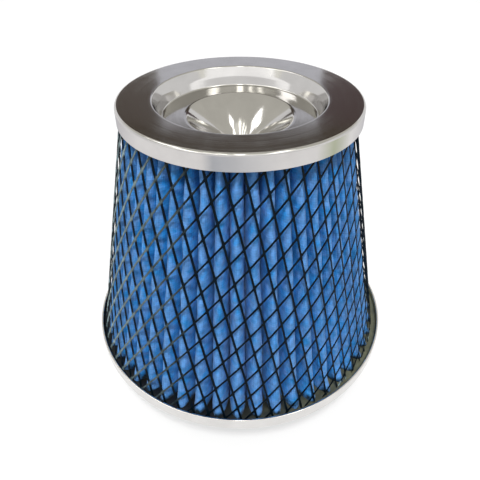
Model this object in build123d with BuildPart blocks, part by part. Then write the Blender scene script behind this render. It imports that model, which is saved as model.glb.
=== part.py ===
from build123d import *
from math import acos, atan, atan2, ceil, cos, degrees, hypot, pi, radians, sin, sqrt, tan
import os

# Cone air filter: a pleated cotton ring, guarded by wrapped expanded metal, potted between a spun
# aluminium top cap with a funnel in it and a base pan that also holds a rubber inlet neck.
# Millimetres, +Z up. The origin is the centre of the neck's lower end, which the filter stands on.

# Caps, of spun aluminium sheet
sheet = 1.0
base_radius = 77.5
band_height = 7.4
body_height = 119.2
lip_radius = 52.0
lip_edge = 0.8
skirt_height = 7.0

# Recess and funnel in the top cap, from its mouth inwards
recess_radius = 36.9
recess_depth = 8.1
wall_run = 3.5
floor_width = 10.0
funnel_fall = 40.0
tip_radius = 2.0

# Rubber inlet neck, for a pipe pushed in from below
bore_radius = 38.0
neck_wall = 4.5
neck_reach = 18.6

# Potting that fills both caps and holds the element: how far it stays below each cap's edge,
# its clearance to the sheet and to the innermost folds
potting_setback = 1.3
potting_dip = 3.4
bond_gap = 0.2
fold_gap = 1.0

# Pleated cotton, sized at its head: the folds widen and deepen with the cone towards the foot.
# Shares are of one pleat's turn about the axis.
pleat_count = 50
media = 1.2
shoulder_drop = 0.9
shoulder_share = 0.29
valley_share = 0.05

# Outer guard: expanded metal, cut flat and wrapped, so its strands are straight on the flat sheet
guard_ledge = 2.6
guard_tuck = 0.2
guard_standoff = 1.2
strand_pitch = 7.15
strand_width = 1.1
strand_thick = 0.7
layer_gap = 0.5
edge_gap = 0.1

# The guard's two layers of strands, outer first: lean on the flat sheet, place of one strand
# beside the front line, and how far a straight run of it may cut inside the true curve
strand_leans = (13.7, -40.7)
strand_starts = (1.0, 0.9)
strand_chords = (0.5, 0.9)

# Heights of the faces that the pieces meet at
base_z = neck_reach
rim_z = base_z + band_height
element_foot = rim_z - potting_dip
lip_z = rim_z + body_height
skirt_z = lip_z - skirt_height
element_head = skirt_z + potting_setback

# Radii that follow from them
skirt_inner = lip_radius - sheet
floor_radius = recess_radius - wall_run
funnel_radius = floor_radius - floor_width
wall_fall = degrees(atan2(recess_depth, wall_run))
neck_radius = bore_radius + neck_wall


def wall_back(height):
    """Radius of the recess wall's underside at a height, down to the wall's foot."""
    depth = min(lip_z - height, recess_depth)
    return recess_radius - depth / tan(radians(wall_fall)) + sheet / sin(radians(wall_fall))


def guard_radius(height):
    """Outer radius of the wrapped guard at a height."""
    foot = base_radius - guard_ledge
    head = skirt_inner - guard_tuck
    return foot + (head - foot) * (height - rim_z) / (skirt_z - rim_z)


# At the head the pleats fill the room between the guard and the recess wall
guard_depth = 2 * strand_thick + layer_gap + guard_standoff
crest_foot = guard_radius(element_foot) - guard_depth
crest_head = guard_radius(element_head) - guard_depth
pleat_depth = crest_head - wall_back(element_head) - fold_gap


def under(point, fall_in, fall_out):
    """Corner on the underside of the sheet below a corner of its top line, which runs inwards."""
    left_in = (-sin(radians(fall_in)), cos(radians(fall_in)))
    left_out = (-sin(radians(fall_out)), cos(radians(fall_out)))
    share = sheet / (1 + left_in[0] * left_out[0] + left_in[1] * left_out[1])
    return (point[0] - share * (left_in[0] + left_out[0]), point[1] - share * (left_in[1] + left_out[1]))


# Top cap: skirt, lip, sloping recess wall, flat floor and funnel, spun from one sheet
floor_z = lip_z - recess_depth
tip_z = floor_z - (funnel_radius - tip_radius) * tan(radians(funnel_fall))
lip_corner = (lip_radius, lip_z)
mouth_corner = (recess_radius, lip_z)
foot_corner = (floor_radius, floor_z)
funnel_corner = (funnel_radius, floor_z)
tip_corner = (tip_radius, tip_z)
tip_under = under(tip_corner, funnel_fall, 0)

with BuildPart() as top_cap:
    with BuildSketch(Plane.XZ) as cap_profile:
        with BuildLine():
            Polyline(
                (lip_radius, skirt_z),
                lip_corner,
                mouth_corner,
                foot_corner,
                funnel_corner,
                tip_corner,
                (0, tip_z),
                (0, tip_z - sheet),
                (tip_under[0], tip_z - sheet),
                under(funnel_corner, 0, funnel_fall),
                under(foot_corner, wall_fall, 0),
                (wall_back(lip_z - sheet), lip_z - sheet),
                (skirt_inner, lip_z - sheet),
                (skirt_inner, skirt_z),
                close=True,
            )
        make_face()
        chamfer(cap_profile.vertices().sort_by_distance(lip_corner)[0], lip_edge)
    revolve(axis=Axis.Z)
top_cap.part.label = "top_cap"

# Top potting: fills the channel between the skirt and the recess wall, above the element
with BuildPart() as top_potting:
    with BuildSketch(Plane.XZ):
        with BuildLine():
            Polyline(
                (skirt_inner - bond_gap, element_head),
                (skirt_inner - bond_gap, lip_z - sheet),
                (wall_back(lip_z - sheet) + bond_gap, lip_z - sheet),
                (wall_back(element_head) + bond_gap, element_head),
                close=True,
            )
        make_face()
    revolve(axis=Axis.Z)
top_potting.part.label = "top_potting"

# Base cap: a shallow pan with a hole for the neck
hole_radius = neck_radius + bond_gap
with BuildPart() as base_cap:
    with BuildSketch(Plane.XZ):
        with BuildLine():
            Polyline(
                (hole_radius, base_z),
                (base_radius, base_z),
                (base_radius, rim_z),
                (base_radius - sheet, rim_z),
                (base_radius - sheet, base_z + sheet),
                (hole_radius, base_z + sheet),
                close=True,
            )
        make_face()
    revolve(axis=Axis.Z)
base_cap.part.label = "base_cap"

# Base potting: fills the pan round the neck, up to the foot of the element
with BuildPart() as base_potting:
    with BuildSketch(Plane.XZ):
        with BuildLine():
            Polyline(
                (hole_radius, base_z + sheet),
                (base_radius - sheet - bond_gap, base_z + sheet),
                (base_radius - sheet - bond_gap, element_foot),
                (hole_radius, element_foot),
                close=True,
            )
        make_face()
    revolve(axis=Axis.Z)
base_potting.part.label = "base_potting"

# Inlet neck: a rubber tube, cast into the base potting at its upper end
with BuildPart() as inlet_neck:
    with BuildSketch(Plane.XY):
        Circle(neck_radius)
        Circle(bore_radius, mode=Mode.SUBTRACT)
    extrude(amount=element_foot)
inlet_neck.part.label = "inlet_neck"

# Pleated cotton: rounded crests outside and tight folds inside, with one crest at the front
outer_outline = (
    (-shoulder_share, shoulder_drop),
    (0, 0),
    (shoulder_share, shoulder_drop),
    (0.5 - valley_share, pleat_depth - media),
    (0.5 + valley_share, pleat_depth - media),
)
inner_outline = (
    (0, media),
    (0.5, pleat_depth),
)
pleat_turn = 2 * pi / pleat_count


def fold_ring(crest, height, outline):
    """Corners of the folds all round the axis, at the height where the crests have this radius."""
    corners = []
    for pleat in range(pleat_count):
        for share, drop in outline:
            turn = (pleat + share) * pleat_turn
            radius = crest * (1 - drop / crest_head)
            corners.append((radius * sin(turn), -radius * cos(turn), height))
    return corners


def panels(foot_ring, head_ring):
    """Flat panels from each pair of corners at the foot to the same pair at the head."""
    faces = []
    for number in range(len(foot_ring)):
        left = number - 1
        rim = (foot_ring[left], foot_ring[number], head_ring[number], head_ring[left])
        faces.append(Face(Wire.make_polygon(rim)))
    return faces


with BuildPart() as pleated_media:
    outer_foot = fold_ring(crest_foot, element_foot, outer_outline)
    outer_head = fold_ring(crest_head, element_head, outer_outline)
    inner_foot = fold_ring(crest_foot, element_foot, inner_outline)
    inner_head = fold_ring(crest_head, element_head, inner_outline)
    foot_face = Face(Wire.make_polygon(outer_foot), [Wire.make_polygon(inner_foot)])
    head_face = Face(Wire.make_polygon(outer_head), [Wire.make_polygon(inner_head)])
    skin = panels(outer_foot, outer_head) + panels(inner_foot, inner_head)
    add(Solid(Shell([foot_face, head_face] + skin)))
pleated_media.part.label = "pleated_media"


def strand_ends(offset, lean, inner_rho, outer_rho, half_sector):
    """Where a straight strand on the flat sheet starts and ends, along its own line.

    The sheet is a ring sector about the cone's tip. The strand passes the tip at the given
    offset and leans from the front line by the given angle.
    """
    if abs(offset) >= outer_rho:
        return None
    end = sqrt(outer_rho**2 - offset**2)
    start = sqrt(inner_rho**2 - offset**2) if abs(offset) < inner_rho else -end
    for side in (-1, 1):
        at_zero = side * offset * cos(lean) * cos(half_sector) + offset * sin(lean) * sin(half_sector)
        growth = side * sin(lean) * cos(half_sector) - cos(lean) * sin(half_sector)
        crossing = -at_zero / growth
        if growth > 0:
            end = min(end, crossing)
        else:
            start = max(start, crossing)
    return (start, end) if end > start else None


def wrapped_strand(offset, lean, ends, depth, chord, tip_height, half_angle):
    """One flat strand of the sheet, wrapped on the cone at a depth below the sheet's outside."""
    angle = sin(half_angle)
    near = [(offset * cos(lean) + t * sin(lean), t * cos(lean) - offset * sin(lean)) for t in ends]
    sweep_turn = abs(atan2(*near[1]) - atan2(*near[0])) / angle
    widest = max(hypot(*point) for point in near) * angle
    runs = max(1, ceil(sweep_turn / (2 * acos(1 - chord / widest))))
    with BuildPart() as strand:
        for step in range(runs + 1):
            t = ends[0] + (ends[1] - ends[0]) * step / runs
            flat_x = offset * cos(lean) + t * sin(lean)
            flat_y = t * cos(lean) - offset * sin(lean)
            rho = hypot(flat_x, flat_y)
            phi = atan2(flat_x, flat_y)
            turn = phi / angle
            outward = Vector(sin(turn), -cos(turn), 0)
            around = Vector(cos(turn), sin(turn), 0)
            down = outward * angle - Vector(0, 0, cos(half_angle))
            normal = outward * cos(half_angle) + Vector(0, 0, angle)
            along = down * cos(lean - phi) + around * sin(lean - phi)
            place = Vector(0, 0, tip_height) + down * rho - normal * depth
            with BuildSketch(Plane(place, x_dir=normal, z_dir=along)):
                Rectangle(strand_thick, strand_width)
        loft(ruled=True)
    return strand.part


# Outer guard: wrapped to a cone from the element's foot to its head, with its seam at the back
guard_foot = guard_radius(element_foot)
taper = (guard_foot - guard_radius(element_head)) / (element_head - element_foot)
half_angle = atan(taper)
tip_height = element_foot + guard_foot / taper
head_rho = (tip_height - element_head) / cos(half_angle)
foot_rho = (tip_height - element_foot) / cos(half_angle)
half_sector = pi * sin(half_angle) - edge_gap / head_rho
reach = ceil(2 * foot_rho / strand_pitch)

strands = []
for layer, (lean_degrees, start, chord) in enumerate(zip(strand_leans, strand_starts, strand_chords)):
    lean = radians(lean_degrees)
    depth = strand_thick / 2 + layer * (strand_thick + layer_gap)
    inner_rho = head_rho - (depth - strand_thick / 2) * taper + edge_gap
    outer_rho = foot_rho - (depth + strand_thick / 2) * taper - edge_gap
    for row in range(-reach, reach + 1):
        offset = start - head_rho * sin(lean) + row * strand_pitch
        left = strand_ends(offset - strand_width / 2, lean, inner_rho, outer_rho, half_sector)
        right = strand_ends(offset + strand_width / 2, lean, inner_rho, outer_rho, half_sector)
        if left is None or right is None:
            continue
        ends = (max(left[0], right[0]), min(left[1], right[1]))
        if ends[1] - ends[0] > strand_width:
            strands.append(wrapped_strand(offset, lean, ends, depth, chord, tip_height, half_angle))
outer_guard = Compound(strands)
outer_guard.label = "outer_guard"

os.makedirs("parts", exist_ok=True)
export_step(top_cap.part, "parts/top_cap.step")
export_step(top_potting.part, "parts/top_potting.step")
export_step(base_cap.part, "parts/base_cap.step")
export_step(base_potting.part, "parts/base_potting.step")
export_step(inlet_neck.part, "parts/inlet_neck.step")
export_step(pleated_media.part, "parts/pleated_media.step")
export_step(outer_guard, "parts/outer_guard.step")
print("pleat depth", round(pleat_depth, 2), "crests", round(crest_foot, 2), round(crest_head, 2))
print("strands", len(outer_guard.solids()))
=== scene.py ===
"""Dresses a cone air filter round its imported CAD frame.

Each sub-assembly is a class with its sizes in millimetres, read from the frame where the frame has
them. Meshes are built in metres, in the frame's own axes: +Z up the filter, its front towards -Y.
"""

import logging
from abc import ABC, abstractmethod
from dataclasses import dataclass, field
from enum import Enum
from math import acos, atan, atan2, ceil, cos, hypot, pi, radians, sin, tan
from typing import Any, Mapping, Sequence

import bmesh
import bpy
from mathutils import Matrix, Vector, noise


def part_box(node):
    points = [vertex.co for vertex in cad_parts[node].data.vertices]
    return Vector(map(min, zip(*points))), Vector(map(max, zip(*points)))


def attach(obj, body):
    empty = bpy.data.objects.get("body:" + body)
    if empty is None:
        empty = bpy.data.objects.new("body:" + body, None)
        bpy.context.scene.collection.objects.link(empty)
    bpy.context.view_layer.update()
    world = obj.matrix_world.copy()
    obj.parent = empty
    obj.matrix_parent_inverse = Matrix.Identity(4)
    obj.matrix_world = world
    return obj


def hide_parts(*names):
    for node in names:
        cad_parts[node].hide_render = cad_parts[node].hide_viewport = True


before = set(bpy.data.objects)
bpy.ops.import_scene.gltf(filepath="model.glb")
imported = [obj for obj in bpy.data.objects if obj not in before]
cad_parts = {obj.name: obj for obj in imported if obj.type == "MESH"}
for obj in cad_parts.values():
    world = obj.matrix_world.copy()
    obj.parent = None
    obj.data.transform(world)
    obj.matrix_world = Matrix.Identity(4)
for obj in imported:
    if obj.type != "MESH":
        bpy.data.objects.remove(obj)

LOG = logging.getLogger("cone_air_filter")
MM = 0.001
BODY = "root"
BLACK = "#000000"
WHITE = "#ffffff"

Point = tuple[float, float]
Corner = tuple[float, float, float]
Colour = tuple[float, float, float, float]
SharedCorners = dict[tuple[int, int], list[bmesh.types.BMVert]]


class Slot(Enum):
    """The record's material slots, one passed with each piece."""

    ALUMINIUM = "spun_aluminium"
    RESIN = "potting_resin"
    COTTON = "oiled_cotton"
    MESH = "coated_mesh"
    RUBBER = "moulded_rubber"


class Family(Enum):
    """The guard's two families of strands, each with its lean on the flat sheet in degrees."""

    STEEP = 13.7
    SHALLOW = -40.7


class Tone(Enum):
    """What the cap's skirt mirrors of the floor round the filter, each with its colour."""

    LIT = "#f4f3f4"
    SHADE = "#bcc0c8"
    GREEN = "#bfc6ac"
    FAR = "#a3a1a6"


def linear(hex_colour: str) -> Colour:
    """Turns an sRGB hex colour into linear light.

    Args:
        hex_colour: six hex digits after a hash sign.

    Returns:
        Linear red, green and blue, with an alpha of one.
    """
    shades = [int(hex_colour[place:place + 2], 16) / 255 for place in (1, 3, 5)]
    light = [s / 12.92 if s <= 0.04045 else ((s + 0.055) / 1.055) ** 2.4 for s in shades]
    return (light[0], light[1], light[2], 1.0)


def per_metre(size_mm: float) -> float:
    """Gives the texture scale at which one repeat is this many millimetres long."""
    return 1 / (size_mm * MM)


def feed(tree: bpy.types.NodeTree, node: bpy.types.Node, feeds: Mapping[Any, Any]) -> None:
    """Sets a node's inputs.

    Args:
        tree: the node tree that holds the node.
        node: the node.
        feeds: for an input's name or number, a fixed value or the output socket that feeds it.
    """
    for place, value in feeds.items():
        if isinstance(value, bpy.types.NodeSocket):
            tree.links.new(value, node.inputs[place])
        else:
            node.inputs[place].default_value = value


def add_node(tree: bpy.types.NodeTree, kind: str, feeds: Mapping[Any, Any] | None = None,
             **settings: Any) -> bpy.types.Node:
    """Adds one node with its settings, its fixed values and its links.

    Args:
        tree: the node tree that takes the node.
        kind: Blender's name of the node type.
        feeds: for an input's name or number, a fixed value or the output socket that feeds it.
        **settings: the node's own properties.

    Returns:
        The new node.
    """
    node = tree.nodes.new(kind)
    for name, value in settings.items():
        setattr(node, name, value)
    feed(tree, node, feeds or {})
    return node


def set_ramp(node: bpy.types.Node, stops: Sequence[tuple[float, Colour]]) -> None:
    """Gives a colour ramp its stops.

    Args:
        node: the colour ramp node.
        stops: place and colour of each stop, from 0 to 1.
    """
    elements = node.color_ramp.elements
    while len(elements) < len(stops):
        elements.new(1.0)
    for element, (place, colour) in zip(elements, stops):
        element.position = place
        element.color = colour


def seen_rays(tree: bpy.types.NodeTree) -> bpy.types.NodeSocket:
    """Adds the test for rays that the picture shows: from the lens, off metal and through glass.

    Args:
        tree: the node tree that takes the nodes.

    Returns:
        An output that is one for those rays and zero for all others.
    """
    rays = add_node(tree, "ShaderNodeLightPath").outputs
    seen = rays["Is Camera Ray"]
    for kind in ("Is Glossy Ray", "Is Transmission Ray"):
        seen = add_node(tree, "ShaderNodeMath", {0: seen, 1: rays[kind]}, operation="MAXIMUM").outputs[0]
    return seen


@dataclass(frozen=True)
class Finish(ABC):
    """A real material and the way its surface was made."""

    name: str

    def material(self) -> bpy.types.Material:
        """Makes the material, with its Principled shader dressed by the finish.

        Returns:
            The material.
        """
        made = bpy.data.materials.new(self.name)
        made.use_nodes = True
        self.dress(made.node_tree, made.node_tree.nodes["Principled BSDF"])
        return made

    @abstractmethod
    def dress(self, tree: bpy.types.NodeTree, shader: bpy.types.Node) -> None:
        """Adds the nodes that give the finish its look.

        Args:
            tree: the material's nodes.
            shader: its Principled shader.
        """


@dataclass(frozen=True)
class SpunAluminium(Finish):
    """Aluminium sheet, spun on a lathe and polished.

    The eye sees a bright, faintly warm mirror. Fine lathe rings draw each highlight out along the
    radius, and soft smears of polish make some rings duller than others.
    """

    colour: str = "#c9c7c5"
    dull_colour: str = "#b6b4b2"
    roughness: float = 0.11
    smear: float = 0.06
    smear_mm: float = 9.0
    ring_mm: float = 0.5
    ring_depth_mm: float = 0.004
    stretch: float = 0.5
    stretch_turn: float = 0.25

    def dress(self, tree: bpy.types.NodeTree, shader: bpy.types.Node) -> None:
        """Adds the lathe rings, drawn coarser than real ones, which are too fine to show.

        Args:
            tree: the material's nodes.
            shader: its Principled shader.
        """
        place = add_node(tree, "ShaderNodeTexCoord").outputs["Object"]
        axes = add_node(tree, "ShaderNodeSeparateXYZ", {0: place}).outputs
        flat = add_node(tree, "ShaderNodeCombineXYZ", {"X": axes["X"], "Y": axes["Y"]})
        radius = add_node(tree, "ShaderNodeVectorMath", {0: flat.outputs[0]}, operation="LENGTH")
        ring_place = add_node(tree, "ShaderNodeCombineXYZ",
                              {"X": radius.outputs["Value"], "Y": axes["Z"]})
        rings = add_node(tree, "ShaderNodeTexNoise",
                         {"Vector": ring_place.outputs[0], "Scale": per_metre(self.ring_mm), "Detail": 3.0})
        smears = add_node(tree, "ShaderNodeTexNoise",
                          {"Vector": place, "Scale": per_metre(self.smear_mm), "Detail": 4.0})
        wear = add_node(tree, "ShaderNodeMath", {0: rings.outputs[0], 1: smears.outputs[0]},
                        operation="MULTIPLY")
        rough = add_node(tree, "ShaderNodeMapRange",
                         {"Value": wear.outputs[0], "From Min": 0.12, "From Max": 0.42,
                          "To Min": self.roughness - self.smear / 2,
                          "To Max": self.roughness + self.smear / 2})
        tint = add_node(tree, "ShaderNodeMix",
                        {"Factor": smears.outputs[0], "A": linear(self.colour),
                         "B": linear(self.dull_colour)}, data_type="RGBA")
        bump = add_node(tree, "ShaderNodeBump",
                        {"Height": rings.outputs[0], "Distance": self.ring_depth_mm * MM, "Strength": 0.6})
        around = add_node(tree, "ShaderNodeTangent", direction_type="RADIAL", axis="Z")
        feed(tree, shader, {"Base Color": tint.outputs["Result"], "Metallic": 1.0,
                            "Roughness": rough.outputs[0], "Normal": bump.outputs[0],
                            "Anisotropic": self.stretch, "Anisotropic Rotation": self.stretch_turn,
                            "Tangent": around.outputs[0]})


@dataclass(frozen=True)
class DippedBlack(Finish):
    """Expanded metal with a thin dipped coating, black and dull.

    The eye sees near-black strands, with pale grey painted highlight on one side and on some lower tips.
    """

    # Both blacks carry a faint blue tint: painted reflection of the blue cloth
    colour: str = "#020a10"
    dust: str = "#06131b"
    # Pale grey of the painted highlight and of the painted glints
    bare: str = "#93a8a9"
    smoothest: float = 0.4
    roughest: float = 0.62
    dust_mm: float = 3.0
    grain_mm: float = 0.6
    grain_depth_mm: float = 0.03

    def dress(self, tree: bpy.types.NodeTree, shader: bpy.types.Node) -> None:
        """Adds the uneven coat and the painted highlight on the strands.

        Args:
            tree: the material's nodes.
            shader: its Principled shader.
        """
        place = add_node(tree, "ShaderNodeTexCoord").outputs["Object"]
        dust = add_node(tree, "ShaderNodeTexNoise",
                        {"Vector": place, "Scale": per_metre(self.dust_mm), "Detail": 3.0})
        grain = add_node(tree, "ShaderNodeTexNoise", {"Vector": place, "Scale": per_metre(self.grain_mm)})
        coat = add_node(tree, "ShaderNodeMix",
                        {"Factor": dust.outputs[0], "A": linear(self.colour), "B": linear(self.dust)},
                        data_type="RGBA")
        # The pale grey is a painted highlight where light catches the strands, and a painted glint at some
        # tips
        painted_highlight = add_node(tree, "ShaderNodeAttribute", attribute_name=WrappedGuard.PAINTED_HIGHLIGHT)
        patchy = add_node(tree, "ShaderNodeMath", {0: painted_highlight.outputs["Fac"], 1: dust.outputs[0]},
                          operation="MULTIPLY")
        lit_share = add_node(tree, "ShaderNodeMapRange",
                        {"Value": patchy.outputs[0], "From Min": 0.05, "From Max": 0.5})
        tint = add_node(tree, "ShaderNodeMix",
                        {"Factor": lit_share.outputs[0], "A": coat.outputs["Result"], "B": linear(self.bare)},
                        data_type="RGBA")
        rough = add_node(tree, "ShaderNodeMapRange",
                         {"Value": grain.outputs[0], "To Min": self.smoothest, "To Max": self.roughest})
        bump = add_node(tree, "ShaderNodeBump",
                        {"Height": grain.outputs[0], "Distance": self.grain_depth_mm * MM, "Strength": 0.5})
        feed(tree, shader, {"Base Color": tint.outputs["Result"], "Roughness": rough.outputs[0],
                            "Normal": bump.outputs[0], "IOR": 1.5, "Specular IOR Level": 0.06})


@dataclass(frozen=True)
class ShearedAluminium(Finish):
    """The bare cut ends of the guard's strands, sheared and never coated.

    The eye sees small bright tips with a torn grain.
    """

    colour: str = "#c8c9c4"
    roughness: float = 0.38
    tear_mm: float = 0.3
    tear_depth_mm: float = 0.05

    def dress(self, tree: bpy.types.NodeTree, shader: bpy.types.Node) -> None:
        """Adds the torn grain of the cut.

        Args:
            tree: the material's nodes.
            shader: its Principled shader.
        """
        place = add_node(tree, "ShaderNodeTexCoord").outputs["Object"]
        tear = add_node(tree, "ShaderNodeTexNoise", {"Vector": place, "Scale": per_metre(self.tear_mm)})
        bump = add_node(tree, "ShaderNodeBump",
                        {"Height": tear.outputs[0], "Distance": self.tear_depth_mm * MM, "Strength": 0.6})
        feed(tree, shader, {"Base Color": linear(self.colour), "Metallic": 1.0,
                            "Roughness": self.roughness, "Normal": bump.outputs[0]})


@dataclass(frozen=True)
class OiledCotton(Finish):
    """Cotton gauze, dyed blue, oiled and pleated.

    The eye sees a soft matte blue, fuzzy along the crests, with a painted highlight on the crests,
    painted shade in the folds and towards the foot, and a plain weave that only shows up close.
    """

    # The crest colour is a painted highlight and the fold colour a painted shade; the cloth colour is the
    # blue itself
    crest: str = "#5a92d2"
    cloth: str = "#2686cf"
    shaded_fold: str = "#1a70b0"
    # Near-black painted shade at the foot, where the pleats meet the resin
    foot_shade: str = "#0c1a20"
    fuzz: str = "#b9d2f5"
    roughness: float = 0.85
    foot_mm: float = 0.0
    foot_shade_mm: float = 2.2
    foot_shade_wander: float = 3.0
    thread_mm: float = 1.1
    thread_depth_mm: float = 0.12
    blotch_mm: float = 5.0
    crumple_mm: float = 2.6
    crumple_depth_mm: float = 0.9

    def dress(self, tree: bpy.types.NodeTree, shader: bpy.types.Node) -> None:
        """Adds the weave, drawn coarser than real gauze so that it shows, and the oil's blotches.

        Args:
            tree: the material's nodes.
            shader: its Principled shader.
        """
        place = add_node(tree, "ShaderNodeTexCoord").outputs
        height = add_node(tree, "ShaderNodeAttribute", attribute_name=PleatedElement.CREST)
        blotch = add_node(tree, "ShaderNodeTexNoise",
                          {"Vector": place["Object"], "Scale": per_metre(self.blotch_mm), "Detail": 6.0})
        spread = add_node(tree, "ShaderNodeMapRange",
                          {"Value": blotch.outputs[0], "From Min": 0.3, "From Max": 0.7,
                           "To Min": -0.34, "To Max": 0.3})
        level = add_node(tree, "ShaderNodeMath", {0: height.outputs["Fac"], 1: spread.outputs[0]},
                         operation="ADD")
        # Painted highlight on the crests and painted shade in the folds, by the height across each pleat
        painted_shading = add_node(tree, "ShaderNodeValToRGB", {"Fac": level.outputs[0]})
        set_ramp(painted_shading, ((0.1, linear(self.shaded_fold)), (0.66, linear(self.cloth)), (1.0, linear(self.crest))))
        # A wave texture makes about pi repeats for each unit of its scale
        warp, weft = (add_node(tree, "ShaderNodeTexWave",
                               {"Vector": place["UV"], "Scale": per_metre(self.thread_mm) / pi,
                                "Distortion": 0.6}, bands_direction=direction) for direction in "XY")
        weave = add_node(tree, "ShaderNodeMath", {0: warp.outputs[1], 1: weft.outputs[1]},
                         operation="ADD")
        threads = add_node(tree, "ShaderNodeMapRange",
                           {"Value": weave.outputs[0], "From Max": 2.0, "To Min": 0.88, "To Max": 1.06})
        crumple = add_node(tree, "ShaderNodeTexNoise",
                           {"Vector": place["Object"], "Scale": per_metre(self.crumple_mm), "Detail": 4.0})
        # Darker in the crumple's dents and paler on its rises: painted shade and light that follow the bump
        dents = add_node(tree, "ShaderNodeMapRange",
                         {"Value": crumple.outputs[0], "From Min": 0.3, "From Max": 0.65,
                          "To Min": 0.7, "To Max": 1.12})
        shade = add_node(tree, "ShaderNodeMath", {0: threads.outputs[0], 1: dents.outputs[0]},
                         operation="MULTIPLY")
        cloth = add_node(tree, "ShaderNodeMix",
                         {"Factor": 1.0, "A": painted_shading.outputs[0], "B": shade.outputs[0]},
                         data_type="RGBA", blend_type="MULTIPLY")
        # Painted shade darkens the cloth towards the foot, up a wandering edge
        axes = add_node(tree, "ShaderNodeSeparateXYZ", {0: place["Object"]})
        rise = add_node(tree, "ShaderNodeMath",
                        {0: spread.outputs[0], 1: self.foot_shade_mm * MM * self.foot_shade_wander,
                         2: axes.outputs["Z"]}, operation="MULTIPLY_ADD")
        clear_of_foot_shade = add_node(tree, "ShaderNodeMapRange",
                       {"Value": rise.outputs[0], "From Min": self.foot_mm * MM,
                        "From Max": (self.foot_mm + self.foot_shade_mm) * MM})
        tint = add_node(tree, "ShaderNodeMix",
                        {"Factor": clear_of_foot_shade.outputs[0], "A": linear(self.foot_shade), "B": cloth.outputs["Result"]},
                        data_type="RGBA")
        creased = add_node(tree, "ShaderNodeBump",
                           {"Height": crumple.outputs[0], "Distance": self.crumple_depth_mm * MM,
                            "Strength": 0.6})
        bump = add_node(tree, "ShaderNodeBump",
                        {"Height": weave.outputs[0], "Distance": self.thread_depth_mm * MM,
                         "Strength": 0.5, "Normal": creased.outputs[0]})
        feed(tree, shader, {"Base Color": tint.outputs["Result"], "Roughness": self.roughness,
                            "Normal": bump.outputs[0], "Specular IOR Level": 0.25,
                            "Sheen Weight": 0.22, "Sheen Roughness": 0.45,
                            "Sheen Tint": linear(self.fuzz)})


@dataclass(frozen=True)
class CastResin(Finish):
    """Polyurethane potting, poured dark and left as it set.

    The eye sees a dark surface, half glossy, with slow waves and a few dull patches. Painted shade
    keeps it near-black on the filter's left; towards its right, where light falls, it is painted olive.
    """

    # Near-black painted shade of the filter's left
    shaded_resin: str = "#100f0b"
    colour: str = "#1c1e17"
    patch: str = "#6c6e58"
    smoothest: float = 0.2
    roughest: float = 0.52
    # Where the painted shade on the left gives way to the lit olive on the right, along X
    lit_from_mm: float = -10.0
    lit_to_mm: float = 55.0
    patch_mm: float = 3.0
    patch_depth_mm: float = 0.25

    def dress(self, tree: bpy.types.NodeTree, shader: bpy.types.Node) -> None:
        """Adds the patches and waves of the poured face.

        Args:
            tree: the material's nodes.
            shader: its Principled shader.
        """
        place = add_node(tree, "ShaderNodeTexCoord").outputs["Object"]
        patch = add_node(tree, "ShaderNodeTexNoise",
                         {"Vector": place, "Scale": per_metre(self.patch_mm), "Detail": 5.0})
        dull = add_node(tree, "ShaderNodeMix",
                        {"Factor": patch.outputs[0], "A": linear(self.colour), "B": linear(self.patch)},
                        data_type="RGBA")
        # Painted shade on the filter's left, painted light towards its right
        axes = add_node(tree, "ShaderNodeSeparateXYZ", {0: place})
        lit_side = add_node(tree, "ShaderNodeMapRange",
                         {"Value": axes.outputs["X"], "From Min": self.lit_from_mm * MM,
                          "From Max": self.lit_to_mm * MM})
        tint = add_node(tree, "ShaderNodeMix",
                        {"Factor": lit_side.outputs[0], "A": linear(self.shaded_resin), "B": dull.outputs["Result"]},
                        data_type="RGBA")
        rough = add_node(tree, "ShaderNodeMapRange",
                         {"Value": patch.outputs[0], "To Min": self.smoothest, "To Max": self.roughest})
        bump = add_node(tree, "ShaderNodeBump",
                        {"Height": patch.outputs[0], "Distance": self.patch_depth_mm * MM, "Strength": 0.6})
        feed(tree, shader, {"Base Color": tint.outputs["Result"], "Roughness": rough.outputs[0],
                            "Normal": bump.outputs[0]})


@dataclass(frozen=True)
class MouldedRubber(Finish):
    """Black rubber, moulded, with the fine grain of the tool.

    The eye sees a matte grey-black with a faint bloom and no sharp reflection.
    """

    colour: str = "#141414"
    bloom: str = "#2a2a29"
    roughness: float = 0.62
    bloom_mm: float = 8.0
    grain_mm: float = 0.7
    grain_depth_mm: float = 0.05

    def dress(self, tree: bpy.types.NodeTree, shader: bpy.types.Node) -> None:
        """Adds the bloom and the tool's grain.

        Args:
            tree: the material's nodes.
            shader: its Principled shader.
        """
        place = add_node(tree, "ShaderNodeTexCoord").outputs["Object"]
        bloom = add_node(tree, "ShaderNodeTexNoise",
                         {"Vector": place, "Scale": per_metre(self.bloom_mm), "Detail": 6.0})
        grain = add_node(tree, "ShaderNodeTexNoise", {"Vector": place, "Scale": per_metre(self.grain_mm)})
        tint = add_node(tree, "ShaderNodeMix",
                        {"Factor": bloom.outputs[0], "A": linear(self.colour), "B": linear(self.bloom)},
                        data_type="RGBA")
        bump = add_node(tree, "ShaderNodeBump",
                        {"Height": grain.outputs[0], "Distance": self.grain_depth_mm * MM, "Strength": 0.6})
        feed(tree, shader, {"Base Color": tint.outputs["Result"], "Roughness": self.roughness,
                            "Normal": bump.outputs[0], "IOR": 1.52})


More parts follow.
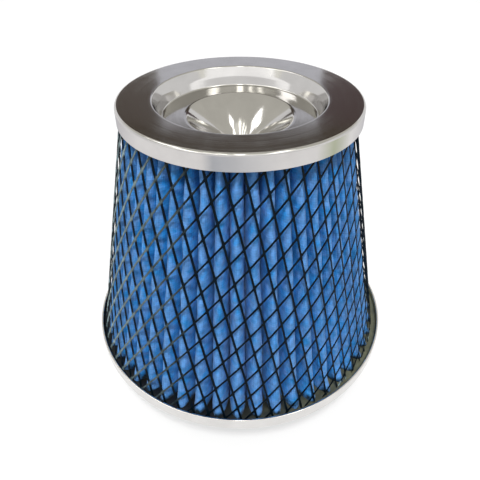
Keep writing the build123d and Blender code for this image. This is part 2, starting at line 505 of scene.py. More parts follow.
@dataclass(frozen=True)
class PaintedFloor(Finish):
    """Board with a matte pale paint.

    The eye sees plain white with a soft shadow, because the board glows only for the lens and for
    what mirrors it.
    """

    colour: str = "#8c8c8c"
    roughness: float = 0.9
    glow: float = 0.6

    def dress(self, tree: bpy.types.NodeTree, shader: bpy.types.Node) -> None:
        """Adds the glow that lights nothing.

        Args:
            tree: the material's nodes.
            shader: its Principled shader.
        """
        glow = add_node(tree, "ShaderNodeMath", {0: seen_rays(tree), 1: self.glow}, operation="MULTIPLY")
        feed(tree, shader, {"Base Color": linear(self.colour), "Roughness": self.roughness,
                            "Emission Color": linear(WHITE), "Emission Strength": glow.outputs[0]})


@dataclass(frozen=True)
class LitCard(Finish):
    """Card, lit evenly.

    The eye sees only its patch of colour in the polished metal.
    """

    colour: str
    strength: float

    def dress(self, tree: bpy.types.NodeTree, shader: bpy.types.Node) -> None:
        """Sets the card's light.

        Args:
            tree: the material's nodes.
            shader: its Principled shader.
        """
        feed(tree, shader, {"Base Color": linear(BLACK), "Emission Color": linear(self.colour),
                            "Emission Strength": self.strength})


@dataclass(frozen=True)
class TonedFloor(Finish):
    """Floor that is lit unevenly round the filter.

    The eye sees its tones run into each other along the cap's skirt.
    """

    strength: float = 1.25
    # Bearing from the front in degrees, to the right, and the tone there
    tones: Sequence[tuple[float, Tone]] = (
        (-150, Tone.FAR),
        (-95, Tone.LIT),
        (-31, Tone.LIT),
        (-22, Tone.SHADE),
        (34, Tone.LIT),
        (66, Tone.LIT),
        (86, Tone.GREEN),
        (110, Tone.LIT),
        (150, Tone.FAR),
    )

    def dress(self, tree: bpy.types.NodeTree, shader: bpy.types.Node) -> None:
        """Adds the tones, by their bearing from the piece's own +X.

        Args:
            tree: the material's nodes.
            shader: its Principled shader.
        """
        place = add_node(tree, "ShaderNodeTexCoord").outputs["Object"]
        bearing = add_node(tree, "ShaderNodeTexGradient", {"Vector": place}, gradient_type="RADIAL")
        ramp = add_node(tree, "ShaderNodeValToRGB", {"Fac": bearing.outputs[1]})
        set_ramp(ramp, [(0.5 + degrees / 360, linear(tone.value)) for degrees, tone in self.tones])
        feed(tree, shader, {"Base Color": linear(BLACK), "Emission Color": ramp.outputs[0],
                            "Emission Strength": self.strength})


def node_radius(name: str, height: float, reach: float = 0.6) -> float:
    """Finds the largest radius that a CAD node has near a height.

    Args:
        name: the node.
        height: height in millimetres.
        reach: how far from that height its corners may lie, in millimetres.

    Returns:
        The radius in millimetres.
    """
    corners = [v.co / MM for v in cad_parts[name].data.vertices]
    return max(hypot(c.x, c.y) for c in corners if abs(c.z - height) <= reach)


def rounded_line(corners: Sequence[Corner], step: float = radians(6), longest: float = 1.2) -> list[Point]:
    """Samples a line of straight runs with rounded corners.

    Args:
        corners: radius from the axis, height and rounding of each corner, in order.
        step: largest turn between two samples of a rounding.
        longest: largest distance between two samples of a rounding, in millimetres.

    Returns:
        The sampled points. The first and last corner stay sharp.
    """
    line = [corners[0][:2]]
    for before, corner, after in zip(corners, corners[1:], corners[2:]):
        here = Vector(corner[:2])
        rounding = corner[2]
        if rounding == 0:
            line.append(corner[:2])
            continue
        back = (Vector(before[:2]) - here).normalized()
        ahead = (Vector(after[:2]) - here).normalized()
        half = acos(max(-1.0, min(1.0, back.dot(ahead)))) / 2
        centre = here + (back + ahead).normalized() * rounding / sin(half)
        first = here + back * rounding / tan(half) - centre
        side = 1 if back.x * ahead.y - back.y * ahead.x < 0 else -1
        turn = pi - 2 * half
        count = max(2, ceil(turn / step), ceil(turn * rounding / longest))
        for number in range(count + 1):
            angle = side * turn * number / count
            line.append((centre.x + first.x * cos(angle) - first.y * sin(angle),
                         centre.y + first.x * sin(angle) + first.y * cos(angle)))
    line.append(corners[-1][:2])
    return braced(line)


def braced(line: Sequence[Point], brace: float = 0.3) -> list[Point]:
    """Adds a point near both ends of each long run, so that smooth shading leaves the run flat.

    Args:
        line: the sampled line.
        brace: distance of the added points from the ends.

    Returns:
        The line with the added points.
    """
    points = [line[0]]
    for start, end in zip(line, line[1:]):
        length = hypot(end[0] - start[0], end[1] - start[1])
        shares = (brace / length, 1 - brace / length) if length > 3 * brace else ()
        points += [(start[0] + (end[0] - start[0]) * s, start[1] + (end[1] - start[1]) * s) for s in shares]
        points.append(end)
    return points


def thickened(line: Sequence[Point], sheet: float) -> list[Point]:
    """Makes a closed outline from the top line of a sheet.

    Args:
        line: the sheet's top line, running towards the axis.
        sheet: thickness of the sheet.

    Returns:
        The top line followed by its underside, back to the start.
    """
    under = []
    for number, (across, height) in enumerate(line):
        last = line[max(0, number - 1)]
        ahead = line[min(len(line) - 1, number + 1)]
        run = Vector((ahead[0] - last[0], ahead[1] - last[1])).normalized()
        under.append((max(0.0, across - run.y * sheet), height + run.x * sheet))
    return list(line) + under[::-1]


def shell_piece(name: str, shell: bmesh.types.BMesh, sharp: float) -> bpy.types.Object:
    """Makes a smooth piece of a shell, sharp only at its hard edges.

    Args:
        name: the piece's name.
        shell: the shell in metres, which is used up.
        sharp: turn between two faces above which their edge is sharp.

    Returns:
        The piece, linked to the scene.
    """
    bmesh.ops.recalc_face_normals(shell, faces=shell.faces)
    mesh = bpy.data.meshes.new(name)
    shell.to_mesh(mesh)
    shell.free()
    mesh.shade_smooth()
    mesh.set_sharp_from_angle(angle=sharp)
    piece = bpy.data.objects.new(name, mesh)
    bpy.context.scene.collection.objects.link(piece)
    return piece


def new_piece(name: str, points: Sequence[Sequence[float]], faces: Sequence[Sequence[int]],
              sharp: float = radians(40)) -> bpy.types.Object:
    """Makes a smooth piece of points and faces.

    Args:
        name: the piece's name.
        points: corners in millimetres.
        faces: corner numbers of each face.
        sharp: turn between two faces above which their edge is sharp.

    Returns:
        The piece, linked to the scene.
    """
    shell = bmesh.new()
    corners = [shell.verts.new(Vector(point) * MM) for point in points]
    for face in faces:
        shell.faces.new([corners[number] for number in face])
    return shell_piece(name, shell, sharp)


def revolved(name: str, outline: Sequence[Point], turns: int = 240) -> bpy.types.Object:
    """Turns a closed outline about the axis.

    Args:
        name: the piece's name.
        outline: radius and height of each point, in millimetres.
        turns: how many steps make the full turn.

    Returns:
        The piece.
    """
    points: list[Sequence[float]] = []
    rings: list[list[int]] = []
    for across, height in outline:
        count = 1 if across < 1e-6 else turns
        rings.append([len(points) + number % count for number in range(turns)])
        for number in range(count):
            angle = 2 * pi * number / turns
            points.append((across * sin(angle), -across * cos(angle), height))
    faces = []
    for here, there in zip(rings, rings[1:] + rings[:1]):
        for number in range(turns):
            after = (number + 1) % turns
            face = list(dict.fromkeys((here[number], here[after], there[after], there[number])))
            if len(face) > 2:
                faces.append(face)
    return new_piece(name, points, faces)


def wobble(*place: float) -> float:
    """Gives a smooth noise from -1 to 1 at a place, the same on every run."""
    return noise.noise(Vector((*place, 0.0, 0.0)[:3]))


@dataclass(frozen=True)
class Cone:
    """The cone that the guard and the pleats lie on, with its flat development."""

    foot_radius: float
    head_radius: float
    foot_z: float
    head_z: float

    @classmethod
    def around_node(cls, node: str) -> "Cone":
        """Lays the cone around a CAD node.

        Args:
            node: the node's name.

        Returns:
            The cone through the node's widest corners at its foot and head.
        """
        foot_z, head_z = (corner.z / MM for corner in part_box(node))
        return cls(node_radius(node, foot_z), node_radius(node, head_z), foot_z, head_z)

    @property
    def taper(self) -> float:
        """Radius lost for each millimetre of height."""
        return (self.foot_radius - self.head_radius) / (self.head_z - self.foot_z)

    @property
    def half_angle(self) -> float:
        """Angle between the axis and the cone's side."""
        return atan(self.taper)

    @property
    def tip_z(self) -> float:
        """Height at which the side would meet the axis."""
        return self.foot_z + self.foot_radius / self.taper

    @property
    def half_sector(self) -> float:
        """Half the angle that the flat sheet spreads over."""
        return pi * sin(self.half_angle)

    def slant(self, height: float) -> float:
        """Distance from the tip, along the side, to a height."""
        return (self.tip_z - height) / cos(self.half_angle)

    def radius(self, height: float) -> float:
        """Radius at a height."""
        return (self.tip_z - height) * self.taper

    def turn(self, bearing: float) -> float:
        """Turn from the front that a bearing on the flat sheet becomes."""
        return bearing / sin(self.half_angle)

    def place(self, slant: float, bearing: float, lift: float) -> Corner:
        """Finds a point of the flat sheet on the cone.

        Args:
            slant: distance from the tip on the flat sheet.
            bearing: angle from the front line on the flat sheet.
            lift: height of the point over the cone's side.

        Returns:
            The point in space.
        """
        turn = self.turn(bearing)
        across = slant * sin(self.half_angle) + lift * cos(self.half_angle)
        height = self.tip_z - slant * cos(self.half_angle) + lift * sin(self.half_angle)
        return (across * sin(turn), -across * cos(turn), height)


class SubAssembly(ABC):
    """A sub-assembly that builds its pieces and dresses them."""

    @abstractmethod
    def build(self) -> list[bpy.types.Object]:
        """Builds the pieces, dresses them and ties them to the frame."""

    def settle(self, piece: bpy.types.Object, node: str, slot: Slot,
               *finishes: Finish) -> bpy.types.Object:
        """Gives a piece its finishes and ties it to the frame.

        Args:
            piece: the finished mesh.
            node: the CAD node that it stands for.
            slot: the record's material slot; not used.
            *finishes: its materials, in the order of its faces' material numbers.

        Returns:
            The piece.
        """
        for finish in finishes:
            piece.data.materials.append(finish.material())
        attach(piece, BODY)
        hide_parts(node)
        return piece


@dataclass
class TopCap(SubAssembly):
    """The spun top cap: skirt, lip, recess and funnel in one sheet."""

    node: str = "top_cap"
    sheet: float = 1.0
    skirt_height: float = 7.0
    recess_radius: float = 36.9
    recess_depth: float = 8.1
    wall_run: float = 3.5
    floor_width: float = 10.0
    funnel_fall: float = radians(40)
    tip_radius: float = 2.0
    lip_round: float = 1.15
    mouth_round: float = 0.7
    wall_bow: float = -0.3
    wall_round: float = 8.0
    foot_round: float = 0.9
    funnel_round: float = 3.0
    funnel_bow: float = radians(8)
    bow_round: float = 70.0
    tip_round: float = 4.0

    def build(self) -> list[bpy.types.Object]:
        """Builds the cap in one piece.

        Returns:
            The cap.
        """
        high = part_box(self.node)[1] / MM
        floor_radius = self.recess_radius - self.wall_run
        funnel_radius = floor_radius - self.floor_width
        floor_z = high.z - self.recess_depth
        half_run = (funnel_radius - self.tip_radius) / 2
        tip_z = floor_z - 2 * half_run * tan(self.funnel_fall)
        bow = half_run / cos(self.funnel_fall) * tan(self.funnel_bow)
        line = rounded_line((
            (high.x, high.z - self.skirt_height, 0),
            (high.x, high.z, self.lip_round),
            (self.recess_radius, high.z, self.mouth_round),
            (floor_radius + self.wall_run / 2 + self.wall_bow, high.z - self.recess_depth / 2,
             self.wall_round),
            (floor_radius, floor_z, self.foot_round),
            (funnel_radius, floor_z, self.funnel_round),
            (self.tip_radius + half_run - bow * sin(self.funnel_fall),
             (floor_z + tip_z) / 2 + bow * cos(self.funnel_fall), self.bow_round),
            (self.tip_radius, tip_z, self.tip_round),
            (0, tip_z, 0),
        ))
        cap = revolved("spun_top_cap", thickened(line, self.sheet))
        return [self.settle(cap, self.node, Slot.ALUMINIUM, SpunAluminium("polished_spun_aluminium"))]


@dataclass
class BasePan(SubAssembly):
    """The shallow base pan, the resin poured into it and the rubber neck."""

    pan_node: str = "base_cap"
    resin_node: str = "base_potting"
    neck_node: str = "inlet_neck"
    sheet: float = 1.0
    foot_round: float = 1.6
    inner_round: float = 0.6
    rim_round: float = 0.35
    pan_colour: str = "#e2e0de"
    pan_dull_colour: str = "#d0cecc"
    bore_radius: float = 38.0
    neck_gap: float = 0.2
    neck_round: float = 1.1
    neck_top_round: float = 0.3
    # Distance from the pan's wall, and how far the resin climbs there
    resin_edge: Sequence[Point] = ((0.0, 0.45), (0.5, 0.15), (1.2, 0.0), (3.5, 0.0), (9.0, 0.0))
    resin_ledge: float = 4.0
    resin_turns: int = 300
    wave_height: float = 0.35
    wave_sink: float = 0.2
    waves_round: float = 9.0
    wave_width: float = 4.0
    still_edge: float = 0.1
    still_ledge: float = 1.0

    def build(self) -> list[bpy.types.Object]:
        """Builds the pan, the resin and the neck."""
        return [self.pan(), self.resin(), self.neck()]

    def hole_radius(self) -> float:
        """Radius that the pan and the resin leave open for the neck."""
        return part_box(self.neck_node)[1].x / MM + self.neck_gap

    def pan(self) -> bpy.types.Object:
        """Presses the pan: floor, rounded foot and band.

        Returns:
            The pan.
        """
        low, high = (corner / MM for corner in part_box(self.pan_node))
        hole = self.hole_radius()
        outline = rounded_line((
            (hole, low.z, 0),
            (high.x, low.z, self.foot_round),
            (high.x, high.z, self.rim_round),
            (high.x - self.sheet, high.z, self.rim_round),
            (high.x - self.sheet, low.z + self.sheet, self.inner_round),
            (hole, low.z + self.sheet, 0),
        ))
        finish = SpunAluminium("polished_pan_aluminium", colour=self.pan_colour,
                               dull_colour=self.pan_dull_colour)
        return self.settle(revolved("pressed_base_pan", outline), self.pan_node, Slot.ALUMINIUM, finish)

    def resin(self) -> bpy.types.Object:
        """Pours the resin, which climbs a little at its edges and sets in slow waves.

        Returns:
            The resin.
        """
        low, high = (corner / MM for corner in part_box(self.resin_node))
        hole = self.hole_radius()
        line = ((hole, low.z, 0), (high.x, low.z, 0),
                *((high.x - inset, high.z + climb, 0) for inset, climb in self.resin_edge),
                (hole + self.resin_ledge, high.z, 0), (hole, high.z, 0))
        resin = revolved("poured_base_resin", rounded_line(line), self.resin_turns)
        for corner in resin.data.vertices:
            across = hypot(corner.co.x, corner.co.y) / MM
            on_face = corner.co.z / MM > high.z - self.still_edge
            if on_face and hole + self.still_ledge < across < high.x - self.still_edge:
                bearing = atan2(corner.co.x, corner.co.y)
                wave = wobble(self.waves_round * cos(bearing), self.waves_round * sin(bearing),
                              across / self.wave_width)
                corner.co.z += self.wave_height * MM * (wave - self.wave_sink)
        return self.settle(resin, self.resin_node, Slot.RESIN, CastResin("cast_potting_resin"))

    def neck(self) -> bpy.types.Object:
        """Moulds the neck, with rounded ends.

        Returns:
            The neck.
        """
        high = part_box(self.neck_node)[1] / MM
        outline = rounded_line((
            (self.bore_radius, high.z / 2, 0),
            (self.bore_radius, 0, self.neck_round),
            (high.x, 0, self.neck_round),
            (high.x, high.z, self.neck_top_round),
            (self.bore_radius, high.z, self.neck_top_round),
            (self.bore_radius, high.z / 2, 0),
        ))[:-1]
        neck = revolved("moulded_inlet_neck", outline)
        return self.settle(neck, self.neck_node, Slot.RUBBER, MouldedRubber("moulded_black_rubber"))


@dataclass
class PleatedElement(SubAssembly):
    """The pleated cotton: broad soft crests, tight folds and the creases of handling."""

    CREST = "crest"

    node: str = "pleated_media"
    pleat_count: int = 50
    pleat_depth: float = 10.89
    media: float = 1.2
    crest_power: float = 2.0
    swell: float = 0.8
    set_left: float = 1.1
    flare: float = 1.0
    flare_height: float = 12.0
    flare_lean: float = 0.6
    half_steps: int = 8
    rows: int = 76
    held: float = 6.0
    sway: float = 0.8
    sway_length: float = 13.0
    dent: float = 0.9
    dent_length: float = 8.0
    dent_power: float = 1.5
    slack: float = 0.25
    slack_length: float = 25.0
    sharp_fold: float = radians(75)

    def build(self) -> list[bpy.types.Object]:
        """Folds the cloth round the axis, as one closed sheet.

        Returns:
            The cloth.
        """
        cone = Cone.around_node(self.node)
        outer = self.outer_section()
        inner = ((0.0, self.media / self.pleat_depth), (0.5, 1.0))
        sections = [(section, self.arc_lengths(section, cone)) for section in (outer, inner)]
        points: list[Corner] = []
        crests: list[float] = []
        marks: list[Point] = []
        rings: list[list[list[int]]] = []
        for row in range(self.rows + 1):
            height = cone.foot_z + (cone.head_z - cone.foot_z) * row / self.rows
            rings.append([])
            for section, lengths in sections:
                ring = []
                for pleat in range(self.pleat_count):
                    for (share, drop), length in zip(section, lengths):
                        ring.append(len(points))
                        points.append(self.corner(cone, height, pleat, share, drop, section is outer))
                        crests.append(1 - drop)
                        marks.append((length, height))
                rings[-1].append(ring)
        faces: list[Sequence[int]] = []
        for below, above in zip(rings, rings[1:]):
            for here, there in zip(below, above):
                for number in range(len(here)):
                    faces.append((here[number - 1], here[number], there[number], there[number - 1]))
        for edge in (rings[0], rings[-1]):
            faces += self.hem(edge, len(outer))
        piece = new_piece("pleated_blue_cotton", points, faces, self.sharp_fold)
        layer = piece.data.attributes.new(self.CREST, "FLOAT", "POINT")
        layer.data.foreach_set("value", crests)
        cloth = piece.data.uv_layers.new(name="cloth")
        for loop in piece.data.loops:
            across, along = marks[loop.vertex_index]
            cloth.data[loop.index].uv = (across * MM, along * MM)
        finish = OiledCotton("oiled_pleated_cotton", foot_mm=cone.foot_z)
        return [self.settle(piece, self.node, Slot.COTTON, finish)]

    def outer_section(self) -> list[Point]:
        """Draws one pleat's outside, from valley to valley.

        Returns:
            Each point's share of the pleat's width, and of its depth below the crest.
        """
        section = []
        for step in range(-self.half_steps, self.half_steps):
            angle = pi / 2 * step / self.half_steps
            share = 0.5 * abs(sin(angle)) ** (2 / self.crest_power) * (1 if step > 0 else -1)
            section.append((share, (1 - cos(angle)) * (1 - self.media / self.pleat_depth)))
        return section

    def arc_lengths(self, section: Sequence[Point], cone: Cone) -> list[float]:
        """Measures a section along the cloth, at the middle of the cone.

        Args:
            section: shares of a pleat's width and of its depth.
            cone: the cone that the crests lie on.

        Returns:
            Each point's distance from the first one, in millimetres.
        """
        size = (cone.foot_radius + cone.head_radius) / 2
        deep = self.pleat_depth * size / cone.head_radius
        lengths = [0.0]
        for before, after in zip(section, section[1:]):
            run = (after[0] - before[0]) * 2 * pi * size / self.pleat_count
            lengths.append(lengths[-1] + hypot(run, (after[1] - before[1]) * deep))
        return lengths

    def corner(self, cone: Cone, height: float, pleat: int, share: float, drop: float,
               is_outer: bool) -> Corner:
        """Places one corner of the cloth.

        Args:
            cone: the cone that the crests lie on.
            height: the row's height.
            pleat: number of the pleat.
            share: place across the pleat, from -0.5 to 0.5.
            drop: share of the pleat's depth below the crest.
            is_outer: whether the corner is on the outside, which is creased.

        Returns:
            The corner in millimetres.
        """
        crest = cone.radius(height)
        radius = crest * (1 - drop * self.pleat_depth / cone.head_radius) + self.swell * (1 - drop)
        turn = (pleat + share) * 2 * pi / self.pleat_count
        spread = max(0.0, 1 - (height - cone.foot_z) / self.flare_height) ** 2
        radius += self.flare * (1 + self.flare_lean * sin(turn)) * (1 - drop) * spread
        if is_outer:
            ease = min(1.0, (height - cone.foot_z) / self.held, (cone.head_z - height) / self.held)
            free = ease * (1 - drop)
            # The plain numbers in these noises only keep the pleats from looking alike
            turn += free * self.sway * wobble(pleat * 5.7, height / self.sway_length) / crest
            crease = wobble(pleat * 9.1 + share * 2.4, height / self.dent_length - share * 1.3, 3.3)
            radius -= free * self.dent * max(0.0, crease) ** self.dent_power
            radius -= free * self.slack * (1 + wobble(pleat * 2.3, height / self.slack_length, 7.7))
        return (radius * sin(turn) - self.set_left, -radius * cos(turn), height)

    def hem(self, ring: Sequence[Sequence[int]], section_size: int) -> list[list[int]]:
        """Closes the cloth's edge at its foot or head, one pleat after the other.

        Args:
            ring: corner numbers of the outside and of the inside.
            section_size: corners of one pleat's outside.

        Returns:
            The faces of the edge.
        """
        outer, inner = ring
        half = section_size // 2
        faces = []
        for pleat in range(self.pleat_count):
            first = pleat * section_size
            fold_before, crest, fold_after = inner[2 * pleat - 1], inner[2 * pleat], inner[2 * pleat + 1]
            faces.append([fold_before, *outer[first:first + half + 1], crest])
            rest = [outer[(first + number) % len(outer)] for number in range(half, section_size + 1)]
            faces.append([crest, *rest, fold_after])
        return faces


@dataclass
class WrappedGuard(SubAssembly):
    """The guard of expanded metal: a lattice of tilted strands, cut flat and wrapped to the cone."""

    # Layer of painted highlight on the strands, and of painted glints at some lower tips
    PAINTED_HIGHLIGHT = "painted_highlight"

    node: str = "outer_guard"
    pitch: float = 7.15
    starts: Mapping[Family, float] = field(
        default_factory=lambda: {Family.STEEP: 1.78, Family.SHALLOW: 1.51})
    widths: Mapping[Family, float] = field(
        default_factory=lambda: {Family.STEEP: 0.9, Family.SHALLOW: 0.78})
    strand_thick: float = 0.3
    tilt_rise: float = 0.12
    tilt_share: float = 0.3
    tilt_most: float = 1.15
    hole_power: float = 24.0
    side_steps: int = 6
    depth: float = 0.95
    set_left: float = 0.8
    sharp_edge: float = radians(50)
    # Lower tips with a painted glint, here and there on the right
    glint_tip: float = 1.4
    glint_from: float = radians(40)
    glint_scatter: float = 9.0
    glint_row: float = 0.4
    glint_level: float = 0.05
    # Where the shallow strands carry painted highlight, by turn from the front
    highlight_from: float = radians(10)
    highlight_rise: float = radians(78)
    highlight_back: float = radians(135)
    highlight_fall: float = radians(30)

    def build(self) -> list[bpy.types.Object]:
        """Cuts the lattice to the flat sheet, caps its cut ends and wraps it.

        Returns:
            The guard.
        """
        cone = Cone.around_node(self.node)
        sheet = self.lattice(cone)
        self.cut(sheet, cone)
        painted_highlight = sheet.verts.layers.float[self.PAINTED_HIGHLIGHT]
        for corner in sheet.verts:
            bearing, slant, lift = corner.co
            turn = cone.turn(bearing)
            # Painted glints at some lower tips on the right, painted highlight on the shallow strands of
            # the left
            at_tip = cone.slant(cone.foot_z) - slant < self.glint_tip and self.has_painted_glint(turn)
            corner[painted_highlight] = 1.0 if at_tip else corner[painted_highlight] * self.painted_highlight_share(turn)
            across, out, up = cone.place(slant, bearing, lift - self.depth)
            corner.co = Vector((across - self.set_left, out, up)) * MM
        guard = shell_piece("expanded_metal_guard", sheet, self.sharp_edge)
        return [self.settle(guard, self.node, Slot.MESH, DippedBlack("dipped_black_expanded_metal"),
                            ShearedAluminium("sheared_strand_ends"))]

    def cut(self, sheet: bmesh.types.BMesh, cone: Cone) -> None:
        """Cuts the lattice to the flat sheet and closes the strands' ends, which stay bare.

        Args:
            sheet: the lattice.
            cone: the cone that the sheet is cut for.
        """
        cuts = (
            ((0, cone.slant(cone.head_z), 0), (0, -1, 0)),
            ((0, cone.slant(cone.foot_z), 0), (0, 1, 0)),
            ((-cone.half_sector, 0, 0), (-1, 0, 0)),
            ((cone.half_sector, 0, 0), (1, 0, 0)),
        )
        for place, outwards in cuts:
            everything = list(sheet.verts) + list(sheet.edges) + list(sheet.faces)
            bmesh.ops.bisect_plane(sheet, geom=everything, dist=1e-7, plane_co=place,
                                   plane_no=outwards, clear_outer=True)
        rims = [edge for edge in sheet.edges if edge.is_boundary]
        for face in bmesh.ops.holes_fill(sheet, edges=rims, sides=0)["faces"]:
            face.material_index = 1

    def has_painted_glint(self, turn: float) -> bool:
        """Tells whether a strand's lower tip gets a painted glint at a turn: here and there on the right.
        """
        return turn > self.glint_from and wobble(self.glint_scatter * turn, self.glint_row) > self.glint_level

    def painted_highlight_share(self, turn: float) -> float:
        """Gives the share of painted highlight at a turn from the front: most on the filter's left, where
        light catches it.
        """
        return max(0.0, min(1.0, (-turn - self.highlight_from) / self.highlight_rise,
                            (turn + self.highlight_back) / self.highlight_fall))

    def flat_place(self, steep: float, shallow: float, cone: Cone) -> Point:
        """Finds a lattice point on the flat sheet.

        Args:
            steep: distance from the steep strand that passes the front line.
            shallow: distance from the shallow strand that passes the front line.
            cone: the cone that the sheet is cut for.

        Returns:
            Bearing from the front line and distance from the cone's tip.
        """
        head = cone.slant(cone.head_z)
        leans = [radians(family.value) for family in Family]
        offsets = [distance + self.starts[family] - head * sin(lean)
                   for distance, family, lean in zip((steep, shallow), Family, leans)]
        size = sin(leans[0] - leans[1])
        across = (offsets[1] * sin(leans[0]) - offsets[0] * sin(leans[1])) / size
        along = (offsets[1] * cos(leans[0]) - offsets[0] * cos(leans[1])) / size
        return atan2(across, along), hypot(across, along)

    def lattice(self, cone: Cone) -> bmesh.types.BMesh:
        """Builds the lattice over the flat sheet, a little past its edges.

        Args:
            cone: the cone that the sheet is cut for.

        Returns:
            The lattice, with bearing, distance from the tip and lift as its coordinates.
        """
        sheet = bmesh.new()
        sheet.verts.layers.float.new(self.PAINTED_HIGHLIGHT)
        shared: SharedCorners = {}
        margin = 2 * self.pitch
        near, far = cone.slant(cone.head_z) - margin, cone.slant(cone.foot_z) + margin
        widest = cone.half_sector + margin / near
        reach = ceil(far / self.pitch) + 1
        for row in range(-reach, reach):
            for column in range(-2 * reach, 2 * reach):
                middle = self.flat_place((row + 0.5) * self.pitch, (column + 0.5) * self.pitch, cone)
                if near < middle[1] < far and abs(middle[0]) < widest:
                    self.cell(sheet, shared, row, column, cone)
        return sheet

    def cell(self, sheet: bmesh.types.BMesh, shared: SharedCorners, row: int, column: int,
             cone: Cone) -> None:
        """Adds one diamond: half of each strand round it, with its opening.

        Args:
            sheet: the lattice.
            shared: corners on the strands' centre lines, which neighbouring diamonds share.
            row: number of the steep strand on its left.
            column: number of the shallow strand above it.
            cone: the cone that the sheet is cut for.
        """
        steps = self.side_steps
        walk = ([(number, 0) for number in range(steps)] + [(steps, number) for number in range(steps)]
                + [(steps - number, steps) for number in range(steps)]
                + [(0, steps - number) for number in range(steps)])
        open_x, open_y = (1 - self.widths[family] / self.pitch for family in Family)
        sides = (self.strand_thick / 2, -self.strand_thick / 2)
        painted_highlight = sheet.verts.layers.float[self.PAINTED_HIGHLIGHT]
        rim, hole = [], []
        for across, along in walk:
            key = (row * steps + across, column * steps + along)
            if key not in shared:
                place = self.flat_place(key[0] * self.pitch / steps, key[1] * self.pitch / steps, cone)
                shared[key] = [sheet.verts.new((*place, side)) for side in sides]
            rim.append(shared[key])
            x, y = 2 * across / steps - 1, 2 * along / steps - 1
            shrink = (abs(x) ** self.hole_power + abs(y) ** self.hole_power) ** (-1 / self.hole_power)
            tilt = (x * open_x + self.tilt_share * y * open_y) * shrink
            lift = self.tilt_rise * max(-self.tilt_most, min(self.tilt_most, tilt))
            place = self.flat_place((row + 0.5 + x * open_x * shrink / 2) * self.pitch,
                                    (column + 0.5 + y * open_y * shrink / 2) * self.pitch, cone)
            hole.append([sheet.verts.new((*place, lift + side)) for side in sides])
            # The shallow strands take the painted highlight.
            if along in (0, steps):
                for corner in rim[-1] + hole[-1]:
                    corner[painted_highlight] = 1.0
        for number in range(len(walk)):
            for side in (0, 1):
                sheet.faces.new((rim[number - 1][side], rim[number][side],
                                 hole[number][side], hole[number - 1][side]))
            sheet.faces.new((hole[number - 1][0], hole[number][0], hole[number][1], hole[number - 1][1]))


@dataclass
class HeadPotting(SubAssembly):
    """The resin in the top cap, a CAD node that shows only from below, through the neck."""

    node: str = "top_potting"

    def build(self) -> list[bpy.types.Object]:
        """Gives the CAD node its resin.

        Returns:
            The node's own object.
        """
        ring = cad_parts[self.node]
        ring.data.materials.clear()
        ring.data.materials.append(CastResin("cast_head_resin").material())
        return [ring]


def show_in_mirrors(piece: bpy.types.Object, finish: Finish) -> None:
    """Makes a piece that only reflections show, and that lights and shades nothing.

    Args:
        piece: the piece.
        finish: its material.
    """
    piece.data.materials.append(finish.material())
    piece.visible_camera = False
    piece.visible_diffuse = False
    piece.visible_shadow = False


@dataclass(frozen=True)
class Lamp:
    """A square soft lamp that points at the filter, with places and sides in metres and power in watts."""

    name: str
    place: Corner
    side: float
    power: float
    mirrored: bool = True
    aim: Corner = (0.0, 0.0, 0.09)

    def hang(self) -> None:
        """Adds the lamp to the scene. Only glossy surfaces can show it, and only if it is mirrored."""
        data = bpy.data.lights.new(self.name, "AREA")
        data.shape = "SQUARE"
        data.size = self.side
        data.energy = self.power
        lamp = bpy.data.objects.new(self.name, data)
        lamp.location = self.place
        aim = Vector(self.aim) - Vector(self.place)
        lamp.rotation_euler = aim.to_track_quat("-Z", "Y").to_euler()
        lamp.visible_camera = False
        lamp.visible_glossy = self.mirrored
        bpy.context.scene.collection.objects.link(lamp)


@dataclass(frozen=True)
class Card:
    """An evenly lit rectangle for the metal to mirror, upright or level, with its corners in metres."""

    name: str
    colour: str
    low: Corner
    high: Corner
    strength: float = 1.0

    def hang(self) -> None:
        """Adds the card to the scene."""
        (left, front, bottom), (right, back, top) = self.low, self.high
        corners = (self.low, (right, front, bottom), self.high, (left, back, top))
        card = new_piece(self.name, [Vector(corner) / MM for corner in corners], ((0, 1, 2, 3),))
        show_in_mirrors(card, LitCard(self.name, self.colour, self.strength))


# The room that the cap mirrors, in metres: far wall, ceiling with rows of lamps, and front window
WALL_Y = 4.9
WALL_HALF = 2.1
PALE_HALF = 0.88
DARK_FROM_Z = 1.7
DARK_ABOVE_Z = 2.4
CEILING_Z = 3.3
CEILING_HALF = 5.0
ROW_Z = 3.29
ROW_FRONT_Y = -3.2
ROW_BACK_Y = -0.9
ROW_SIDES: Sequence[Point] = ((-3.6, -2.2), (-1.4, -1.2), (-0.8, -0.6), (-0.2, 0.2), (1.4, 2.3))
WINDOW_Y = -4.5
WINDOW_HALF = 40.0
WINDOW_LOW_Z = 2.4
WINDOW_HIGH_Z = 4.6

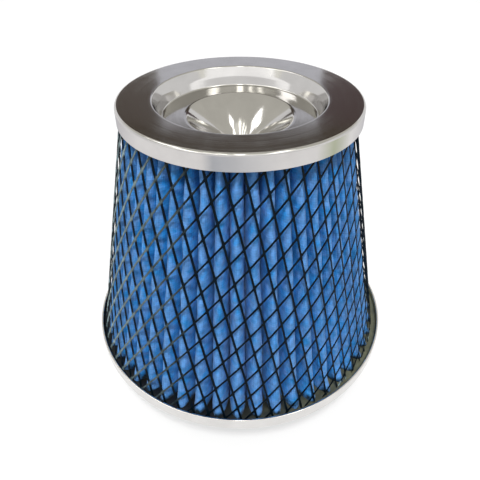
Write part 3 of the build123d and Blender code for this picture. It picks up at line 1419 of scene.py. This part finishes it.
LAMPS: Sequence[Lamp] = (
    Lamp("key_lamp", (0.0, -1.5, 3.4), 0.6, 128.0, mirrored=False),
    Lamp("left_glint", (-0.72, 0.14, 1.13), 0.36, 1.2),
    Lamp("far_left_glint", (-0.8, 0.34, 0.98), 0.1, 0.12),
    Lamp("middle_glint", (0.0, -0.37, 1.3), 0.06, 0.06),
    Lamp("right_glint", (0.46, -0.19, 1.24), 0.2, 0.45),
)
CARDS: Sequence[Card] = (
    Card("dark_wall", "#43382c", (-WALL_HALF, WALL_Y, DARK_ABOVE_Z), (WALL_HALF, WALL_Y, CEILING_Z)),
    Card("dark_left", "#554b45", (-WALL_HALF, WALL_Y, DARK_FROM_Z), (-PALE_HALF, WALL_Y, DARK_ABOVE_Z)),
    Card("dark_right", "#4d3c3d", (PALE_HALF, WALL_Y, DARK_FROM_Z), (WALL_HALF, WALL_Y, DARK_ABOVE_Z)),
    Card("lilac_wall", "#d0d1d9", (-PALE_HALF, WALL_Y, 0), (PALE_HALF, WALL_Y, DARK_ABOVE_Z)),
    Card("grey_ceiling", "#d6d4ca", (-CEILING_HALF, ROW_BACK_Y, CEILING_Z),
         (CEILING_HALF, WALL_Y, CEILING_Z)),
    Card("pale_ceiling", "#f2f1e8", (-CEILING_HALF, ROW_FRONT_Y, CEILING_Z),
         (CEILING_HALF, ROW_BACK_Y, CEILING_Z), strength=1.2),
    Card("front_window", WHITE, (-WINDOW_HALF, WINDOW_Y, WINDOW_LOW_Z),
         (WINDOW_HALF, WINDOW_Y, WINDOW_HIGH_Z), strength=1.5),
    *(Card(f"lamp_row_{number}", "#fffff6", (left, ROW_FRONT_Y, ROW_Z),
           (right, ROW_BACK_Y, ROW_Z), strength=3.8)
      for number, (left, right) in enumerate(ROW_SIDES, 1)),
)


@dataclass
class Studio:
    """The camera, the floor, the lamps, and the room that the metal mirrors, with sizes in metres."""

    camera_place: Corner = (0.0, -0.1939, 0.2207)
    camera_tilt: float = radians(51.74)
    lens_mm: float = 35.6
    sensor_mm: float = 36.0
    clip_start: float = 0.01
    surround_light: float = 0.8
    floor_size: float = 30.0
    ring_near: float = 0.19
    ring_far: float = 0.46
    ring_z: float = 0.001
    ring_turns: int = 72

    def build(self) -> None:
        """Sets up everything that isn't part of the filter."""
        bpy.context.scene.view_settings.view_transform = "Standard"
        self.add_camera()
        self.add_surround()
        self.add_floor()
        for item in (*LAMPS, *CARDS):
            item.hang()
        self.add_toned_ring()

    def add_camera(self) -> None:
        """Puts the camera where the photograph was taken from."""
        data = bpy.data.cameras.new("camera")
        data.lens = self.lens_mm
        data.sensor_width = self.sensor_mm
        data.clip_start = self.clip_start
        camera = bpy.data.objects.new("camera", data)
        camera.location = self.camera_place
        camera.rotation_euler = (self.camera_tilt, 0, 0)
        bpy.context.scene.collection.objects.link(camera)
        bpy.context.scene.camera = camera

    def add_surround(self) -> None:
        """Makes the white surround, which the lens and the metal see at full strength."""
        world = bpy.data.worlds.new("white_surround")
        world.use_nodes = True
        tree = world.node_tree
        strength = add_node(tree, "ShaderNodeMapRange",
                            {"Value": seen_rays(tree), "To Min": self.surround_light, "To Max": 1.0})
        feed(tree, tree.nodes["Background"], {"Color": linear(WHITE), "Strength": strength.outputs[0]})
        bpy.context.scene.world = world

    def add_floor(self) -> None:
        """Lays the pale floor, which stays white to the lens and keeps a soft shadow."""
        half = self.floor_size / 2 / MM
        corners = ((-half, -half, 0), (half, -half, 0), (half, half, 0), (-half, half, 0))
        floor = new_piece("studio_floor", corners, ((0, 1, 2, 3),))
        floor.data.materials.append(PaintedFloor("white_studio_floor").material())

    def add_toned_ring(self) -> None:
        """Lays a ring on the floor for the cap's skirt to mirror, turned so that its +X is the front."""
        turns = self.ring_turns
        bearings = [2 * pi * number / turns for number in range(turns)]
        points = [(across / MM * cos(bearing), across / MM * sin(bearing), self.ring_z / MM)
                  for across in (self.ring_near, self.ring_far) for bearing in bearings]
        faces = [(number, (number + 1) % turns, turns + (number + 1) % turns, turns + number)
                 for number in range(turns)]
        ring = new_piece("toned_ring", points, faces)
        ring.rotation_euler = (0, 0, -pi / 2)
        show_in_mirrors(ring, TonedFloor("toned_ring"))


def main() -> None:
    """Builds the filter and its studio."""
    logging.basicConfig(level=logging.INFO, format="%(message)s")
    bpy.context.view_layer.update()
    for assembly in (TopCap(), BasePan(), PleatedElement(), WrappedGuard(), HeadPotting()):
        for piece in assembly.build():
            LOG.info("%s: %d faces", piece.name, len(piece.data.polygons))
    Studio().build()
    bpy.context.view_layer.update()


if __name__ == "__main__":
    main()
